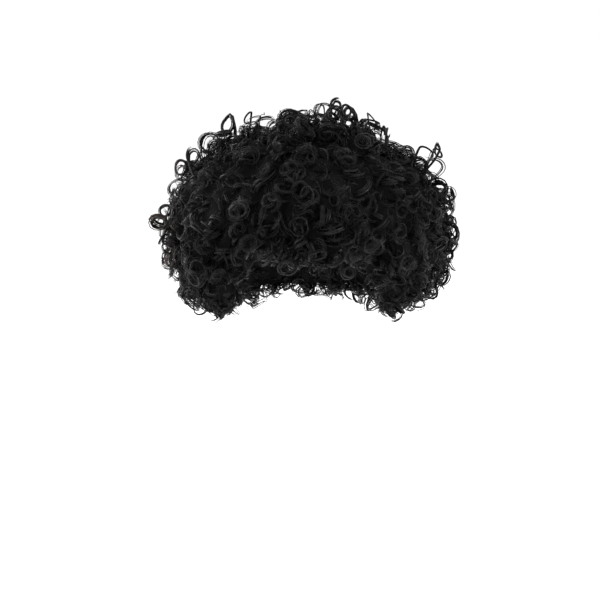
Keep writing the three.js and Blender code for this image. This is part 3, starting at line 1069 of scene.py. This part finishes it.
class WIG_OT_cores(bpy.types.Operator):
    """Makes the dense hair of each row, which the curls grow out of"""

    bl_idname = "wig.cores"
    bl_label = "Dense hair"

    def execute(self, context):
        """Each row is a closed section carried round the head: down over its skin and back along the cap.
        The skin lies an inset below the surface, less on the far right. It swells in a ring round the
        centre of each curl, by a bell of the distance, and is roughened by two crossing sines."""
        sizes = context.scene.wig_sizes
        material = core_material(context.scene.wig_colours)
        angle, place = curl_places(sizes.curl_spacing, np.random.default_rng(SEED))
        centres = surface(angle, place)
        steps, across, ways = 210, 13, np.array([0.7, 0.4, 0.12])
        ring, ring_width, roughness = 0.005, 0.0045, 0.0012
        angle = all_round(steps)[:, None]
        for row, node in enumerate(HAIR_NODES):
            place = row + np.linspace(0.0, 1.0 - 1e-6, across)[None, :]
            level = surface(angle, place)
            gap = np.sqrt(nearest(level.reshape(-1, 3), centres)).reshape(level.shape[:2])
            swell = sizes.lump * np.exp(-(((gap - ring) / ring_width) ** 2))
            rough = roughness * np.sin(angle * 37 + place * 9) * np.sin(angle * 23 - place * 14)
            dense = DENSE_SHARE * eased((level[..., 0] - DENSE_FROM) / DENSE_OVER)
            inset = sizes.core_inset * (1 - dense)
            skin = hair(angle, place, 1.0, relief(angle, place) + inset - swell + rough)
            lower = hair(angle, row + 1.0, ways[None, :])
            upper = hair(angle, float(row), ways[None, ::-1])
            if row == 0:
                upper = np.zeros((steps, 1, 3))
                upper[..., 2] = CAP_WALL + ROOT_GAP
                skin[:, 0] = (0, 0, skin[:, 0, 2].mean())
            places = np.concatenate([skin, lower, upper], 1)
            name = node.replace("curls", "hair").replace("curl", "hair")
            made = ring_of_sections(name, places, poles=row == 0)
            finished(made, material, "hair", node)
        return {"FINISHED"}


class WIG_OT_curls(bpy.types.Operator):
    """Grows the curls of every row, with those that face the head inside the lowest one"""

    bl_idname = "wig.curls"
    bl_label = "Curls"

    def execute(self, context):
        """One piece for each row, from the places that fall within it."""
        sizes = context.scene.wig_sizes
        rng = np.random.default_rng(SEED)
        angle, place = curl_places(sizes.curl_spacing, rng)
        for row, node in enumerate(HAIR_NODES):
            mine = (place >= row) & (place < row + 1)
            curls = grown_curls(angle[mine], place[mine], sizes, rng)
            if row == len(HAIR_NODES) - 1:
                inner_angle = rng.uniform(-np.pi, np.pi, sizes.inner_curls)
                inner_way = rng.uniform(*INNER_WAY, sizes.inner_curls)
                lining = inner_curls(inner_angle, inner_way, sizes, rng)
                curls = {key: np.concatenate([curls[key], lining[key]]) for key in curls}
            hair_piece(node + "_strands", curls, sizes, sizes.strand_steps, rng, node)
        return {"FINISHED"}


class WIG_OT_deep(bpy.types.Operator):
    """Adds thinner curls deeper in, where the others leave gaps"""

    bl_idname = "wig.deep"
    bl_label = "Deep curls"

    def execute(self, context):
        """One piece, from places as far from the middles of the other curls as the gap says."""
        sizes = context.scene.wig_sizes
        angle, place = curl_places(sizes.curl_spacing, np.random.default_rng(SEED))
        rng = np.random.default_rng(SEED + 2)
        angle, place = curl_places(sizes.deep_spacing, rng, surface(angle, place), sizes.deep_gap)
        curls = grown_curls(angle, place, sizes, rng)
        curls["proud"] = rng.uniform(*DEEP_PROUD, len(angle))
        curls["coarse"] = np.full(len(angle), DEEP_COARSENESS)
        curls["strands"] = np.full(len(angle), sizes.deep_strands)
        hair_piece("deep_curls", curls, sizes, DEEP_STEPS, rng, *HAIR_NODES)
        return {"FINISHED"}


class WIG_OT_stray(bpy.types.Operator):
    """Adds the single curls that stand clear of the outline"""

    bl_idname = "wig.stray"
    bl_label = "Stray curls"

    def execute(self, context):
        """One piece of them all."""
        sizes = context.scene.wig_sizes
        rng = np.random.default_rng(SEED + 1)
        hair_piece("stray_curls", stray_curls(rng), sizes, STRAY_STEPS, rng)
        return {"FINISHED"}


class WIG_OT_stage(bpy.types.Operator):
    """Sets the floor, the lights and the camera"""

    bl_idname = "wig.stage"
    bl_label = "Stage"

    def execute(self, context):
        """Plain colours, then the world, the floor, the lights and the camera."""
        scene = context.scene
        scene.view_settings.view_transform = "Standard"
        scene.view_settings.look = "None"
        self.world(scene)
        self.floor(scene.wig_colours)
        self.lights(scene)
        self.camera(scene)
        return {"FINISHED"}

    def world(self, scene):
        """An even white all round."""
        world = bpy.data.worlds.new("studio")
        world.use_nodes = True
        back = world.node_tree.nodes["Background"]
        back.inputs["Color"].default_value = (1, 1, 1, 1)
        back.inputs["Strength"].default_value = WORLD_STRENGTH
        scene.world = world

    def floor(self, colours):
        """One level square below the wig."""
        size, level = 40.0, -0.62
        corners = np.array([[-size, -size], [size, -size], [size, size], [-size, size]])
        places = np.concatenate([corners, np.full((4, 1), level)], 1)
        made = mesh_object("floor", places, np.array([[0, 1, 2, 3]]))
        made.data.materials.append(floor_material(colours))

    def lights(self, scene):
        """Square soft lights turned to the wig's middle: a name, a place, a side and a power each."""
        table = [
            ("key_light", (-1.5, -2.0, 1.4), 1.0, 82),
            ("fill_light", (2.1, -1.3, 0.7), 1.2, 50),
            ("left_light", (-1.7, -0.3, -0.4), 0.8, 50),
            ("right_light", (1.7, -0.3, -0.4), 0.8, 60),
            ("rim_light", (-1.8, 1.2, 0.8), 1.0, 70),
            ("top_light", (0.3, 0.4, 2.2), 1.2, 38),
        ]
        for name, place, side, power in table:
            data = bpy.data.lights.new(name, "AREA")
            data.size, data.energy = side, power
            self.placed(scene, name, data, Vector(place), Vector((0, 0, HAIR_LEVEL)) - Vector(place))

    def placed(self, scene, name, data, place, aim):
        """A light or camera at a place, turned so that it looks along its aim."""
        made = bpy.data.objects.new(name, data)
        turned = aim.to_track_quat("-Z", "Y").to_matrix().to_4x4()
        made.matrix_world = Matrix.Translation(place) @ turned
        scene.collection.objects.link(made)
        return made

    def camera(self, scene):
        """Looks down at the photograph's elevation, so far to the side of the seat and below it that the
        seat falls on its pixel."""
        half = PHOTO_PIXELS / 2
        back = Vector((0, -math.cos(CAMERA_ELEVATION), math.sin(CAMERA_ELEVATION)))
        up = Vector((0, math.sin(CAMERA_ELEVATION), math.cos(CAMERA_ELEVATION)))
        aim = Vector((1, 0, 0)) * (half - SEAT_PIXEL[0]) * PIXEL - up * (half - SEAT_PIXEL[1]) * PIXEL
        data = bpy.data.cameras.new("camera")
        data.sensor_width = SENSOR_WIDTH
        data.lens = SENSOR_WIDTH * CAMERA_DISTANCE / (PHOTO_PIXELS * PIXEL)
        scene.camera = self.placed(scene, "camera", data, aim + back * CAMERA_DISTANCE, -back)


STEPS = (WIG_OT_cap, WIG_OT_band, WIG_OT_cores, WIG_OT_curls, WIG_OT_deep, WIG_OT_stray, WIG_OT_stage)


class WIG_PT_panel(bpy.types.Panel):
    """Lists what the wig is made of"""

    bl_idname = "WIG_PT_panel"
    bl_label = "Curly wig"
    bl_space_type = "VIEW_3D"
    bl_region_type = "UI"
    bl_category = "Wig"

    def draw(self, context):
        """The operators in order, then their settings."""
        for step in STEPS:
            self.layout.operator(step.bl_idname)
        for group in (context.scene.wig_sizes, context.scene.wig_colours):
            for name in group.__annotations__:
                self.layout.prop(group, name)


CLASSES = (WigSizes, WigColours, *STEPS, WIG_PT_panel)


def register():
    """Adds the classes and the scene's settings."""
    for each in CLASSES:
        bpy.utils.register_class(each)
    bpy.types.Scene.wig_sizes = bpy.props.PointerProperty(type=WigSizes)
    bpy.types.Scene.wig_colours = bpy.props.PointerProperty(type=WigColours)


def unregister():
    """Takes away the settings and the classes again."""
    del bpy.types.Scene.wig_sizes
    del bpy.types.Scene.wig_colours
    for each in reversed(CLASSES):
        bpy.utils.unregister_class(each)


def main():
    register()
    for step in STEPS:
        group, action = step.bl_idname.split(".")
        getattr(getattr(bpy.ops, group), action)()


if __name__ == "__main__":
    main()
